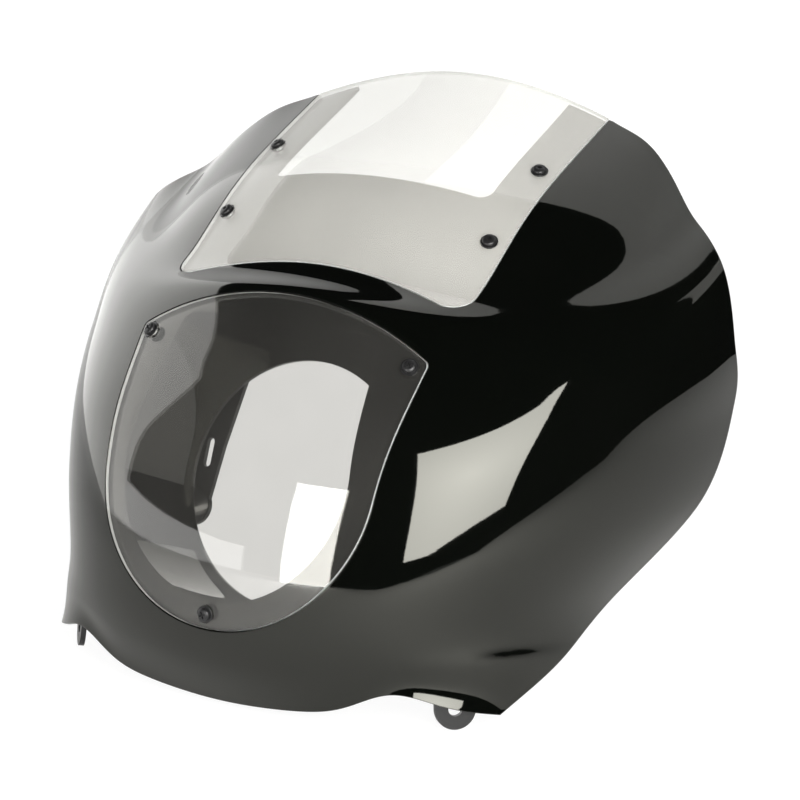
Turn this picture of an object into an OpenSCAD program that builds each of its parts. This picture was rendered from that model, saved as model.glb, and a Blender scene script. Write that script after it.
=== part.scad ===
// Headlight cowl of a motorcycle: one moulded shell with a lamp bucket, a clear lens over it, a clear
// screen above, two steel brackets inside and the hardware that fixes them.
// Millimetres. Origin at the centre of the headlight opening's front face, front of the cowl to -Y,
// up to +Z, rider's left to +X. The cowl is symmetric about the plane X = 0.

/* [Shell moulding] */
// Wall thickness of the moulding
wall = 3.5; // [3:0.1:4.5]
// Half width at the widest point of the trailing edge
half_w = 266; // [256:1:276]
// How far the nose stands ahead of the headlight opening
nose_reach = 114; // [110:1:118]
// How far the bottom lip hangs below the headlight opening
lip_drop = 138; // [132:1:144]
// How far the lower rear corner hangs below the headlight opening
corner_drop = 131; // [126:1:136]
// How high the brow between lens and screen stands
brow_rise = 144; // [141:1:147]
// How high the top of the cowl stands on its centreline
crown_rise = 277; // [270:1:284]
// How far back the top of the cowl lies
crown_back = 236; // [230:1:242]
// How far back the trailing edge reaches at its middle
edge_back = 189; // [183:1:195]
// How far the scallop in the bottom edge rises
scallop_h = 14.4; // [8:0.2:18]
// Distance of the scallop from the centreline
scallop_x = 137; // [130:1:142]
// Depth of the flute that runs in from the trailing edge
flute_depth = 3.2; // [1:0.1:5]

/* [Lamp bucket] */
// Rake of the lamp's plane from the vertical, in degrees
lamp_rake = 21.3; // [18:0.1:24]
// Radius of the headlight opening, for a seven inch lamp
lamp_r = 92; // [86:0.5:94]
// Inside radius of the bucket's lower half
bucket_r = 95.5; // [94:0.5:97]
// Half width of the bucket's ceiling between its corner centres
ceiling_half = 74; // [68:1:78]
// Height of the bucket's ceiling above the opening's centre
ceiling_h = 110; // [106:1:112]
// Radius of the bucket's upper corners
bucket_corner_r = 12; // [8:1:16]

/* [Headlight lens] */
// Thickness of the clear lens
lens_t = 3; // [2:0.1:4]
// Radius of the lens's round lower half
lens_r = 115; // [113:0.5:117]
// Half width of the lens at its upper corners
lens_corner_half = 117; // [115:0.5:119]
// Height of the corner centres above the opening's centre
lens_corner_h = 93; // [91:0.5:95]
// Radius of the lens's upper corners
lens_corner_r = 6; // [5:0.5:8]
// Height of the lens's crown above the opening's centre
lens_crown_h = 131; // [129:0.5:132]

/* [Screen] */
// Thickness of the clear screen
screen_t = 3; // [2:0.1:4]
// Slope of the screen's plane above the horizontal, in degrees
screen_slope = 28.75; // [26:0.05:31]
// Half width of the screen at its foot, between corner centres
screen_foot_half = 110; // [106:0.5:112]
// Radius of the screen's lower corners
screen_corner_r = 18; // [12:1:20]
// Rise of the screen's lower edge at its middle
screen_foot_rise = 14; // [10:0.5:16]
// Half width of the screen at its top corners
screen_top_half = 131.5; // [130:0.5:132]
// Length of the screen's sides, from foot to top corner
screen_side = 236; // [232:0.5:238]
// Rise of the screen's top edge at its middle
screen_top_rise = 15; // [12:0.5:18]
// Distance that the shell's flanges stop short of the screen's top edge
top_setback = 1.5; // [1.5:0.1:4]
// Half width of the open window in the shell behind the screen
window_half = 96; // [90:1:98]
// Height of the dash edge at the foot of the window
dash_h = 107; // [102:1:112]
// Radius of the window's lower corners
window_corner_r = 10; // [6:1:14]

/* [Seats and gaps] */
// Gap around the edge of the lens and of the screen
edge_gap = 1; // [0.5:0.1:1.5]
// Clearance under a clear panel
seat_gap = 0.3; // [0.2:0.05:0.5]
// Width of the rim that turns in from the shell to each seat
rim_w = 3.5; // [3:0.1:5]
// Clearance between a screw and its hole, on the radius
hole_gap = 0.3; // [0.2:0.05:0.5]

/* [Screws] */
// Diameter of the screen bolts and lens screws
screw_d = 5; // [4:0.5:6]
// Diameter of a screen bolt's button head
button_d = 10.5; // [9.5:0.1:11]
// Height of a screen bolt's button head
button_h = 3; // [2.5:0.1:3.5]
// Diameter of a lens screw's pan head
pan_d = 10; // [9:0.1:10.5]
// Height of a lens screw's pan head
pan_h = 3.2; // [2.8:0.1:3.6]
// Outer diameter of the washers under the heads and nuts
washer_d = 13; // [12:0.2:14]
// Thickness of a washer
washer_t = 1; // [0.8:0.1:1.4]
// Width across the flats of the nuts
nut_af = 8; // [7.5:0.1:9]
// Height of the nuts
nut_h = 4.5; // [4:0.1:5]
// How far a screw stands out of its nut
screw_tip = 2; // [1:0.5:3]
// Distance of the screen bolts in from the screen's side
bolt_inset = 13; // [12:0.5:15]
// Height of the lower screen bolts along the screen
low_bolt_h = 68; // [62:0.5:72]
// Height of the upper screen bolts along the screen
high_bolt_h = 150; // [146:0.5:160]
// Distance of the upper lens screws from the centreline
lens_screw_x = 112.5; // [111:0.5:113.5]
// Height of the upper lens screws
lens_screw_h = 91.5; // [90:0.5:93]
// Depth of the lower lens screw below the opening's centre
low_screw_drop = 105; // [104.5:0.5:106]
// Length of the lower lens screw's thread inside its boss
low_screw_bite = 7; // [5:0.5:8]

/* [Brackets] */
// Thickness of the bracket's steel
bracket_t = 4; // [3:0.5:5]
// Width of the bracket's straps
strap_w = 30; // [26:1:32]
// Diameter of the ring's hole
ring_hole_d = 10.6; // [8:0.1:12]
// Diameter of the bolts that hold the bracket
bracket_bolt_d = 6; // [5:0.5:8]
// Diameter of the moulded bosses that carry the bracket
boss_d = 18; // [16:0.5:22]
// Distance of the bracket's upper bolt from the centreline
high_bolt_x = 94; // [92:0.5:97]
// Height of the bracket's upper bolt above the opening's centre
high_bolt_s = 80; // [74:1:84]
// Width of the bracket's slotted plate, which stands beside the lamp
plate_w = 25; // [20:0.5:25]
// Distance of the bracket's slot from the centreline
slot_x = 103.5; // [103.5:0.5:106]
// Height of the bracket's slot above the opening's centre
slot_s = 13.5; // [10:0.5:18]
// Length of the slot in the bracket's plate
slot_l = 16; // [12:1:24]
// Width of the slot in the bracket's plate
slot_w = 6.5; // [5:0.5:8]
// Distance of the bracket's plate behind the headlight opening
bracket_back = 32; // [26:1:36]
// Length of the lower boss on the shell's inner face
low_boss_l = 8; // [6:0.5:12]
// Thickness of a bracket bolt's hexagon head
hex_h = 4; // [3:0.5:5]
// Width across the flats of a bracket bolt's head
hex_af = 10; // [9:0.5:12]
// Distance from the lower boss down to the ring's centre
ring_drop = 35; // [32:0.5:40]
// Depth of the threaded hole in a boss
boss_hole = 8; // [6:0.5:9]

/* [Hidden] */
$fn = 48;
SIDES = ["left", "right"];
LEVELS = ["low", "high"];
LENS_PLACES = ["left", "right", "bottom"];
SCREEN_KINDS = ["screen_bolt", "screen_washer", "screen_backing_washer", "screen_nut"];
LENS_KINDS = ["lens_screw", "lens_washer"];
LENS_BACKING_KINDS = ["lens_backing_washer", "lens_nut"];
BRACKET_KINDS = ["bracket_bolt", "bracket_washer"];

// Control net of the shell, bottom to top. Each station has the centreline's depth and height, the
// length of the flat front's handle, the shoulder's control point and the trailing edge's point.
NET = [
  [[-98, -lip_drop], 76, [160, -98, -115], [195, -34, -corner_drop]],
  [[2 - nose_reach, -102], 98, [187, -81, -83], [212, 18, -105]],
  [[-nose_reach, -68], 119, [212, -60, -47], [219, 76, -77]],
  [[7 - nose_reach, -14], 134, [half_w - 29, -37, -10], [half_w - 10, edge_back - 35, -11]],
  [[30 - nose_reach, 52], 141, [half_w - 10, -13, 26], [half_w - 2, edge_back, 58]],
  [[68 - nose_reach, 106], 136, [half_w - 6, 13, 54], [half_w, edge_back - 8, 106]],
  [[-11, brow_rise], 124, [half_w - 20, 40, 85], [half_w - 6, edge_back - 17, 159]],
  [[30, brow_rise + 16], 115, [217, 71, 131], [223, 197, 192]],
  [[106, 217], 95, [167, 132, 191], [175, 223, 233]],
  [[crown_back, crown_rise], 49, [94, crown_back, crown_rise - 12], [134.5, 233, crown_rise - 27]]
];
LAST = len(NET) - 1;
// Facets between two stations, and from the centreline to the trailing edge
steps = 4;
cols = 14;

// Value of a smooth curve through the list p at parameter t
function along(p, t) = let (
    n = len(p) - 1, i = min(floor(t), n - 1), f = t - i,
    b = p[i], c = p[i + 1], a = i == 0 ? 2 * b - c : p[i - 1], d = i == n - 1 ? 2 * c - b : p[i + 2]
  ) (2 * b + (c - a) * f + (2 * a - 5 * b + 4 * c - d) * f ^ 2 + (3 * b - a - 3 * c + d) * f ^ 3) / 2;
function column(k) = [for (row = NET) row[k]];
FRONT = column(0);
HANDLE = column(1);
SHOULDER = column(2);
EDGE = column(3);

function ease(x) = let (s = min(max(x, 0), 1)) s * s * (3 - 2 * s);
function bell(x) = exp(-x * x);

// Point of the plain loft at height t and at u from centreline (0) to trailing edge (1)
function rib(t, u) = let (
    c = along(FRONT, t), p0 = [0, c[0], c[1]], p1 = p0 + [along(HANDLE, t), 0, 0],
    p2 = along(SHOULDER, t), p3 = along(EDGE, t), v = 1 - u
  ) v ^ 3 * p0 + 3 * u * v ^ 2 * p1 + 3 * u ^ 2 * v * p2 + u ^ 3 * p3;
function unit(v) = v / norm(v);
function inward(t, u) = let (
    e = 0.002, t0 = max(t - e, 0), t1 = min(t + e, LAST), u0 = max(u - e, 0), u1 = min(u + e, 1)
  ) unit(cross(rib(t1, u) - rib(t0, u), rib(t, u1) - rib(t, u0)));
// The flute starts part of the way round at about the height of the screen's foot, climbs a little
// and is deepest at the trailing edge
flute_t = 6.9;
flute_climb = 0.2;
flute_half = 0.35;
flute_from = 0.35;
function flute(t, u) = flute_depth * bell((t - flute_t - flute_climb * u) / flute_half)
  * ease((u - flute_from) / (1 - flute_from));
// Half width of the scallop, and the station at which it has faded out
scallop_half = 32;
scallop_end = 1.6;
function scallop(t, x) = scallop_h * bell((x - scallop_x) / scallop_half) * ease(1 - t / scallop_end);
function skin(t, u) = let (p = rib(t, u) + flute(t, u) * inward(t, u)) p + [0, 0, scallop(t, p[0])];

// The surface's points and inward directions on a grid, right side to left side
ROWS = [for (r = [0:steps * LAST]) r / steps];
POINTS = [for (t = ROWS) let (half = [for (i = [0:cols]) skin(t, i / cols)])
  concat([for (i = [cols:-1:1]) [-half[i].x, half[i].y, half[i].z]], half)];
// On the grid's rim the direction is that of the nearest point inside it
function grid_normal(r, c) = let (
    row = min(max(r, 1), len(ROWS) - 2), col = min(max(c, 1), 2 * cols - 1)
  ) unit(cross(POINTS[row + 1][col] - POINTS[row - 1][col], POINTS[row][col + 1] - POINTS[row][col - 1]));
NORMALS = [for (r = [0:len(ROWS) - 1]) [for (c = [0:2 * cols]) grid_normal(r, c)]];

// Closed sheet that follows the shell's surface from depth d0 to depth d1, between two rows and as
// many columns each side of the middle. With past, one more row carries it beyond its last row.
module sheet(d0, d1, r0 = 0, r1 = steps * LAST, reach = cols, past = 0) {
  w = 2 * reach + 1;
  extra = past == 0 ? [] : [r1];
  h = r1 - r0 + 1 + len(extra);
  function row(r, d, shift) = [for (c = [cols - reach:cols + reach])
    POINTS[r][c] + d * NORMALS[r][c] + shift * SCREEN_UP];
  function layer(d) = concat([for (r = [r0:r1]) each row(r, d, 0)], [for (r = extra) each row(r, d, past)]);
  // The rim runs once round the grid
  rim = concat(
    [for (c = [0:w - 2]) c], [for (r = [0:h - 2]) r * w + w - 1],
    [for (c = [w - 1:-1:1]) (h - 1) * w + c], [for (r = [h - 1:-1:1]) r * w]
  );
  inner = w * h;
  // Each cell is split so that the two halves of the cowl mirror each other
  function cell(a, c) = c < reach ? [[a, a + w, a + 1], [a + 1, a + w, a + w + 1]]
    : [[a, a + w, a + w + 1], [a, a + w + 1, a + 1]];
  cells = [for (r = [0:h - 2]) for (c = [0:w - 2]) each cell(r * w + c, c)];
  polyhedron(
    points = concat(layer(d0), layer(d1)),
    faces = concat(
      cells, [for (f = cells) [for (k = [2:-1:0]) inner + f[k]]],
      [for (k = [0:len(rim) - 1]) let (a = rim[k], b = rim[(k + 1) % len(rim)])
        each [[a, b, inner + b], [a, inner + b, inner + a]]]
    )
  );
}
// The stretches of the grid that the lens and the screen cover
lens_reach = 6;
screen_past = 6;
module lens_sheet(d0, d1) sheet(d0, d1, steps, 6 * steps + 2, lens_reach);
module screen_sheet(d0, d1) sheet(d0, d1, 6 * steps, steps * LAST, cols, screen_past);

// Working planes: X across, Y up the panel, Z out of the front
LAMP_UP = [0, sin(lamp_rake), cos(lamp_rake)];
SCREEN_UP = [0, cos(screen_slope), sin(screen_slope)];
SCREEN_FOOT = [0, 27, brow_rise - 7];
module lamp_plane() rotate([90 - lamp_rake, 0, 0]) children();
module screen_plane() translate(SCREEN_FOOT) rotate([screen_slope, 0, 0]) children();

// Lengths that carry an outline right through the cowl
lamp_cut_l = 200;
screen_cut_l = 120;
module lens_prism(g) lamp_plane() linear_extrude(lamp_cut_l) lens_outline(g);
module screen_prism() screen_plane() translate([0, 0, -screen_cut_l / 2]) linear_extrude(screen_cut_l) children();

// Height t and place u of the surface point that lies at x and h in a working plane
function locate(x, h, up, o, t, u, n = 7) = n == 0 ? [t, u] : let (
    e = 0.01, p = skin(t, u), pt = skin(t + e, u) - p, pu = skin(t, u + e) - p,
    fx = (x - p.x) * e, fh = (h - up * (p - o)) * e, det = pt.x * (up * pu) - pu.x * (up * pt)
  ) locate(x, h, up, o, t + (fx * (up * pu) - fh * pu.x) / det, u + (fh * pt.x - fx * (up * pt)) / det, n - 1);
function on_lamp(x, h) = locate(x, h, LAMP_UP, [0, 0, 0], 4, 0.3);
function on_screen(x, h) = locate(x, h, SCREEN_UP, SCREEN_FOOT, 7.5, 0.4);

// Stands children on the surface at a place, mirrored to the right side, with Z out of the cowl
module stand_on(place, side) {
  out = -inward(place[0], place[1]);
  mirror([side == "right" ? 1 : 0, 0, 0]) translate(skin(place[0], place[1]))
    rotate([0, acos(out.z), atan2(out.y, out.x)]) children();
}

/* Outlines */
// Straight sides cut into the round corners they join by this much
bite = 0.03;
// Outline between two round corners a and b = [centre, radius], and their mirror images
function outward(a, b) = let (d = b[0] - a[0], lean = acos((a[1] - b[1]) / norm(d)))
  atan2(d.y, d.x) - lean;
module flank(a, b) {
  n = outward(a, b);
  e = [cos(n), sin(n)];
  p = a[0] + (a[1] - bite) * e;
  q = b[0] + (b[1] - bite) * e;
  polygon([[0, a[0].y], [p.x, p.y], [q.x, q.y], [0, b[0].y]]);
}
module both() {
  children();
  mirror([1, 0]) children();
}
// Lens outline, grown by g all round: a round lower half, leaning sides and a crowned top
module lens_outline(g) {
  corner = [[lens_corner_half, lens_corner_h], lens_corner_r + g];
  // The crown's circle has its centre at this height and touches both corners from outside
  reach = lens_crown_h - lens_corner_r;
  crown_y = (reach ^ 2 - lens_corner_h ^ 2 - lens_corner_half ^ 2) / (2 * (reach - lens_corner_h));
  crown_r = lens_crown_h + g - crown_y;
  touch = lens_corner_half * crown_r / (crown_r - lens_corner_r - g);
  circle(lens_r + g, $fn = 96);
  both() {
    flank([[0, 0], lens_r + g], corner);
    translate(corner[0]) circle(corner[1]);
  }
  intersection() {
    translate([0, crown_y]) circle(crown_r, $fn = 96);
    translate([-touch, lens_corner_h]) square([2 * touch, lens_crown_h]);
  }
}
// Bucket outline, grown by g: a round lower half and a flat ceiling with round corners
module bucket_outline(g) {
  corner = [[ceiling_half, ceiling_h - bucket_corner_r], bucket_corner_r + g];
  circle(bucket_r + g, $fn = 96);
  both() {
    flank([[0, 0], bucket_r + g], corner);
    translate(corner[0]) circle(corner[1]);
  }
  translate([-ceiling_half, 0]) square([2 * ceiling_half, ceiling_h + g]);
}
// Screen outline, grown by g, or by g_top at the top corners: round lower corners, a hollow foot and
// straight sides that run out past the top edge
module screen_outline(g, g_top) {
  corner = [[screen_foot_half, screen_corner_r], screen_corner_r + g];
  foot_r = (screen_foot_half ^ 2 + screen_foot_rise ^ 2) / (2 * screen_foot_rise);
  top = [screen_top_half + g_top, screen_side];
  both() {
    flank(corner, [top, bite]);
    translate(corner[0]) circle(corner[1]);
  }
  difference() {
    translate([-screen_foot_half, -g]) square([2 * screen_foot_half, screen_corner_r + g]);
    translate([0, screen_foot_rise - foot_r - g]) circle(foot_r, $fn = 96);
  }
  translate([-top.x, top.y]) square([2 * top.x, 2 * screen_top_rise]);
}
// All that lies beyond the crowned top edge, which is drawn in by d
module beyond_top(d) {
  top_r = (screen_top_half ^ 2 + screen_top_rise ^ 2) / (2 * screen_top_rise);
  width = 2 * (screen_top_half + rim_w) + wall;
  difference() {
    translate([-width / 2, screen_side - d]) square([width, 4 * screen_top_rise]);
    intersection() {
      translate([0, screen_side + screen_top_rise - top_r - d]) circle(top_r, $fn = 180);
      translate([-screen_top_half, 0]) square([2 * screen_top_half, 2 * screen_side]);
    }
  }
}
// Window behind the screen, open to beyond the screen's top edge
module window_outline() {
  both() translate([window_half - window_corner_r, dash_h + window_corner_r]) circle(window_corner_r);
  translate([window_corner_r - window_half, dash_h])
    square([2 * (window_half - window_corner_r), window_corner_r]);
  translate([-window_half, dash_h + window_corner_r]) square([2 * window_half, screen_side]);
}
// Strip with round ends from a to b
module strip(a, b, w) {
  for (end = [a, b]) translate(end) circle(w / 2);
  translate(a) rotate(atan2(b.y - a.y, b.x - a.x)) translate([0, bite - w / 2])
    square([norm(b - a), w - 2 * bite]);
}

/* Places of the screws, on the left side */
seat_floor = screen_t + seat_gap;
lens_floor = lens_t + seat_gap;
// Thickness and rim of the pad behind each screw hole
pad_t = 1;
pad_rim = 1;
// Closed end of the lower lens screw's boss
blind_end = 3;
LENS_SPOTS = [on_lamp(lens_screw_x, lens_screw_h), on_lamp(lens_screw_x, lens_screw_h),
  on_lamp(0, -low_screw_drop)];
function screen_half(h) = let (
    a = screen_foot_half + screen_corner_r, b = screen_top_half
  ) a + (b - a) * h / screen_side;
SCREEN_SPOTS = [for (h = [low_bolt_h, high_bolt_h]) on_screen(screen_half(h) - bolt_inset, h)];

// Cuts or fills a round bar along each screw, from depth d0 to depth d1
module at_screen_spots() for (side = SIDES) for (spot = SCREEN_SPOTS) stand_on(spot, side) children();
module at_lens_spots() for (k = [0, 1]) stand_on(LENS_SPOTS[k], SIDES[k]) children();
module at_low_spot() stand_on(LENS_SPOTS[2], "left") children();
module bar(d, d0, d1) translate([0, 0, -d1]) cylinder(h = d1 - d0, d = d);

/* Bracket places */
LOW_BOSS = [1.1, 0.685];
low_pad = wall + low_boss_l;
// Depth under the skin at which the lower boss starts, and how far the upper one runs up the bucket
boss_root = 1.5;
boss_run = 12;
module on_low_boss(side) stand_on(LOW_BOSS, side) translate([0, 0, -low_pad]) children();
module on_high_boss(side) mirror([side == "right" ? 1 : 0, 0, 0]) lamp_plane()
  translate([high_bolt_x, high_bolt_s, -bracket_back]) children();

/* Sub-parts */
// Length of the bucket before the lens's seat cuts it off, and how far each seat's cut reaches out
bucket_l = 100;
lens_clear = 40;
screen_clear = 5;
// The moulding: outer skin, sunk seats for lens and screen, lamp bucket and bosses in one piece
module cowl_shell() {
  color([0.03, 0.03, 0.03]) difference() {
    union() {
      sheet(0, wall);
      intersection() {
        lens_sheet(1, lens_floor + wall);
        lens_prism(edge_gap + rim_w);
      }
      intersection() {
        screen_sheet(1, seat_floor + wall);
        screen_prism() screen_outline(edge_gap + rim_w, edge_gap + rim_w / 2);
      }
      lamp_plane() translate([0, 0, -wall]) linear_extrude(bucket_l) bucket_outline(wall);
      at_screen_spots() bar(washer_d + 2 * pad_rim, seat_floor + 1, seat_floor + wall + pad_t);
      at_lens_spots() bar(washer_d + 2 * pad_rim, lens_floor + 1, lens_floor + wall + pad_t);
      at_low_spot() bar(2 * screw_d, lens_floor + 1, lens_floor + low_screw_bite + blind_end);
      for (side = SIDES) {
        on_low_boss(side) cylinder(h = low_pad - boss_root, d = boss_d);
        on_high_boss(side) cylinder(h = bracket_back + boss_run, d = boss_d);
      }
    }
    // Seats
    intersection() {
      lens_sheet(-lens_clear, lens_floor);
      lens_prism(edge_gap);
    }
    intersection() {
      screen_sheet(-screen_clear, seat_floor);
      screen_prism() screen_outline(edge_gap, edge_gap);
    }
    // Bucket, headlight opening and window
    lamp_plane() {
      linear_extrude(lamp_cut_l) bucket_outline(0);
      translate([0, 0, -2 * wall]) cylinder(h = 4 * wall, r = lamp_r, $fn = 96);
    }
    screen_prism() {
      window_outline();
      beyond_top(top_setback);
    }
    // Screw holes
    at_screen_spots() bar(screw_d + 2 * hole_gap, 0, seat_floor + wall + 2 * pad_t);
    at_lens_spots() bar(screw_d + 2 * hole_gap, 0, lens_floor + wall + 2 * pad_t);
    at_low_spot() bar(screw_d + 2 * hole_gap, 0, lens_floor + low_screw_bite + 1);
    for (side = SIDES) {
      on_low_boss(side) translate([0, 0, -1]) cylinder(h = boss_hole + 1, d = bracket_bolt_d + 2 * hole_gap);
      on_high_boss(side) translate([0, 0, -1]) cylinder(h = boss_hole + 1, d = bracket_bolt_d + 2 * hole_gap);
    }
  }
}
// The clear lens that closes the lamp bucket
module headlight_lens() {
  color([0.8, 0.85, 0.9, 0.4]) difference() {
    intersection() {
      lens_sheet(0, lens_t);
      lens_prism(0);
    }
    at_lens_spots() bar(screw_d + 2 * hole_gap, -1, lens_t + 1);
    at_low_spot() bar(screw_d + 2 * hole_gap, -1, lens_t + 1);
  }
}
// The clear screen above the brow
module windscreen() {
  color([0.8, 0.85, 0.9, 0.4]) difference() {
    intersection() {
      screen_sheet(0, screen_t);
      screen_prism() screen_outline(0, 0);
    }
    screen_prism() beyond_top(0);
    at_screen_spots() bar(screw_d + 2 * hole_gap, -1, screen_t + 1);
  }
}

// Steel bracket: ring below the cowl, pad on the lower boss, arm, slotted plate and upper pad
foot_out = 5;
foot_drop = 42;
arm_start = 26;
foot = [slot_x + foot_out, slot_s - foot_drop];
slot_end = [slot_x, slot_s + slot_l / 2];
function lamp_point(x, h, z) = [x, h * sin(lamp_rake) - z * cos(lamp_rake), h * cos(lamp_rake) + z * sin(lamp_rake)];
// The arm between the two flat parts is slightly narrower and thinner than they are
arm_step = 0.4;
module arm_end() translate([0, 0, arm_step])
  cylinder(h = bracket_t - 2 * arm_step, d = strap_w - 4 * arm_step, $fn = 24);
module bracket(side) {
  out = -inward(LOW_BOSS[0], LOW_BOSS[1]);
  down = unit([out.x * out.z, out.y * out.z, out.z ^ 2 - 1]);
  to_foot = lamp_point(foot.x, foot.y, -bracket_back) - skin(LOW_BOSS[0], LOW_BOSS[1]);
  arm = arm_start * unit([to_foot * down, to_foot * cross(out, down)]);
  color([0.1, 0.1, 0.1]) difference() {
    union() {
      on_low_boss(side) translate([0, 0, -bracket_t]) linear_extrude(bracket_t) {
        strip([0, 0], [ring_drop, 0], strap_w);
        strip([0, 0], arm, strap_w);
      }
      hull() {
        on_low_boss(side) translate([arm.x, arm.y, -bracket_t]) arm_end();
        mirror([side == "right" ? 1 : 0, 0, 0]) lamp_plane()
          translate([foot.x, foot.y, -bracket_back - bracket_t]) arm_end();
      }
      mirror([side == "right" ? 1 : 0, 0, 0]) lamp_plane()
        translate([0, 0, -bracket_back - bracket_t]) linear_extrude(bracket_t) {
          translate(foot) circle(strap_w / 2);
          strip(foot, slot_end, plate_w);
          strip(slot_end, [high_bolt_x, high_bolt_s], plate_w);
        }
    }
    on_low_boss(side) {
      translate([ring_drop, 0, -2 * bracket_t]) cylinder(h = 3 * bracket_t, d = ring_hole_d);
      translate([0, 0, -2 * bracket_t]) cylinder(h = 3 * bracket_t, d = bracket_bolt_d + 2 * hole_gap);
    }
    on_high_boss(side) translate([0, 0, -2 * bracket_t])
      cylinder(h = 3 * bracket_t, d = bracket_bolt_d + 2 * hole_gap);
    mirror([side == "right" ? 1 : 0, 0, 0]) lamp_plane()
      translate([0, 0, -bracket_back - 2 * bracket_t]) linear_extrude(3 * bracket_t)
        strip([slot_x, slot_s - slot_l / 2], slot_end, slot_w);
  }
}

/* Hardware, standing on Z = 0 with the shank downward */
module washer(d) difference() {
  cylinder(h = washer_t, d = washer_d);
  translate([0, 0, -1]) cylinder(h = washer_t + 2, d = d + 2 * hole_gap);
}
module nut() difference() {
  cylinder(h = nut_h, d = nut_af / cos(30), $fn = 6);
  translate([0, 0, -1]) cylinder(h = nut_h + 2, d = screw_d + 2 * hole_gap);
}
module shank(d, l) translate([0, 0, -l]) cylinder(h = l, d = d);
module button_screw(l) {
  difference() {
    rotate_extrude() polygon([[0, 0], [button_d / 2, 0], [button_d / 2, button_h * 0.35],
      [button_d * 0.44, button_h * 0.7], [button_d * 0.34, button_h * 0.92], [button_d * 0.22, button_h],
      [0, button_h]]);
    translate([0, 0, button_h * 0.35]) cylinder(h = button_h, d = screw_d * 0.68, $fn = 6);
  }
  shank(screw_d, l);
}
module pan_screw(l) {
  difference() {
    rotate_extrude() polygon([[0, 0], [pan_d / 2, 0], [pan_d / 2, pan_h * 0.45],
      [pan_d * 0.45, pan_h * 0.75], [pan_d * 0.36, pan_h * 0.93], [pan_d * 0.25, pan_h], [0, pan_h]]);
    for (a = [0, 90]) rotate(a) translate([-pan_d * 0.27, -pan_d * 0.06, pan_h * 0.4])
      cube([pan_d * 0.54, pan_d * 0.12, pan_h]);
  }
  shank(screw_d, l);
}
module hex_bolt(l) {
  cylinder(h = hex_h, d = hex_af / cos(30), $fn = 6);
  shank(bracket_bolt_d, l);
}

// Depths of the stack under each head
head_lift = seat_gap;
screen_back = seat_floor + wall + pad_t;
lens_back = lens_floor + wall + pad_t;
module screen_fastener(kind, level, side) {
  reach = head_lift + washer_t + screen_back + washer_t + nut_h + screw_tip;
  stand_on(SCREEN_SPOTS[level], side) color([0.07, 0.07, 0.07]) {
    if (kind == "screen_bolt") translate([0, 0, head_lift + washer_t]) button_screw(reach);
    if (kind == "screen_washer") translate([0, 0, head_lift]) washer(screw_d);
    if (kind == "screen_backing_washer") translate([0, 0, -screen_back - washer_t]) washer(screw_d);
    if (kind == "screen_nut") translate([0, 0, -screen_back - washer_t - nut_h]) nut();
  }
}
module lens_fastener(kind, k) {
  reach = head_lift + washer_t + (k == 2 ? lens_floor + low_screw_bite
    : lens_back + washer_t + nut_h + screw_tip);
  stand_on(LENS_SPOTS[k], k == 1 ? "right" : "left") color([0.07, 0.07, 0.07]) {
    if (kind == "lens_screw") translate([0, 0, head_lift + washer_t]) pan_screw(reach);
    if (kind == "lens_washer") translate([0, 0, head_lift]) washer(screw_d);
    if (kind == "lens_backing_washer") translate([0, 0, -lens_back - washer_t]) washer(screw_d);
    if (kind == "lens_nut") translate([0, 0, -lens_back - washer_t - nut_h]) nut();
  }
}
module bracket_fastener(kind, level, side) {
  module fastener() translate([0, 0, -bracket_t]) mirror([0, 0, 1]) color([0.1, 0.1, 0.1]) {
    if (kind == "bracket_washer") washer(bracket_bolt_d);
    if (kind == "bracket_bolt") translate([0, 0, washer_t]) hex_bolt(washer_t + bracket_t + boss_hole - 1);
  }
  if (level == 0) on_low_boss(side) fastener();
  if (level == 1) on_high_boss(side) fastener();
}

cowl_shell();
headlight_lens();
windscreen();
for (s = SIDES) bracket(s);
for (k = SCREEN_KINDS) for (l = [0, 1]) for (s = SIDES)
  screen_fastener(k, l, s);
for (k = LENS_KINDS) for (p = [0:2])
  lens_fastener(k, p);
for (k = LENS_BACKING_KINDS) for (p = [0, 1])
  lens_fastener(k, p);
for (k = BRACKET_KINDS) for (l = [0, 1]) for (s = SIDES)
  bracket_fastener(k, l, s);
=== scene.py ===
# Looks of a motorcycle's headlight cowl: gloss black moulding, clear lens and screen, black hardware.
# Metres; origin at the centre of the headlight opening, front to -Y, up to +Z, rider's left to +X.
import math

import bmesh
import bpy
import numpy as np
from mathutils import Matrix, Vector, kdtree


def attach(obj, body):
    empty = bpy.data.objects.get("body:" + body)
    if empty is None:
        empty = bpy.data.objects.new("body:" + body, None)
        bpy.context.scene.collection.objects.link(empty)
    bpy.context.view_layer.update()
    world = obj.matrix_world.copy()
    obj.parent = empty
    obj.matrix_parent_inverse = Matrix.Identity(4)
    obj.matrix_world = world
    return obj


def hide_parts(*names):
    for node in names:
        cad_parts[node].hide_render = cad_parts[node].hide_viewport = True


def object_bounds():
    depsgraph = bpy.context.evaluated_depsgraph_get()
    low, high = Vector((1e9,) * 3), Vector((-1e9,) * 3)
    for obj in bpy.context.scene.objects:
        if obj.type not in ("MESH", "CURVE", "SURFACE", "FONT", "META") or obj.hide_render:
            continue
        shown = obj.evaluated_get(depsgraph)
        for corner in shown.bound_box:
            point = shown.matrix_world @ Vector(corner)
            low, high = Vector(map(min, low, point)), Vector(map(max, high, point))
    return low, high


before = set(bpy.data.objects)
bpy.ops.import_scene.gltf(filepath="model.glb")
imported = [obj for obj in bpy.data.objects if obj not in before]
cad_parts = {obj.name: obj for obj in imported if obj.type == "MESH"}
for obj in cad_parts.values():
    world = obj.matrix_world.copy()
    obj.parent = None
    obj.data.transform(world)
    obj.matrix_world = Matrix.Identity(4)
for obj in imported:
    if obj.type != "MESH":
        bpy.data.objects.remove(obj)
cad_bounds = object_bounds()

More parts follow.
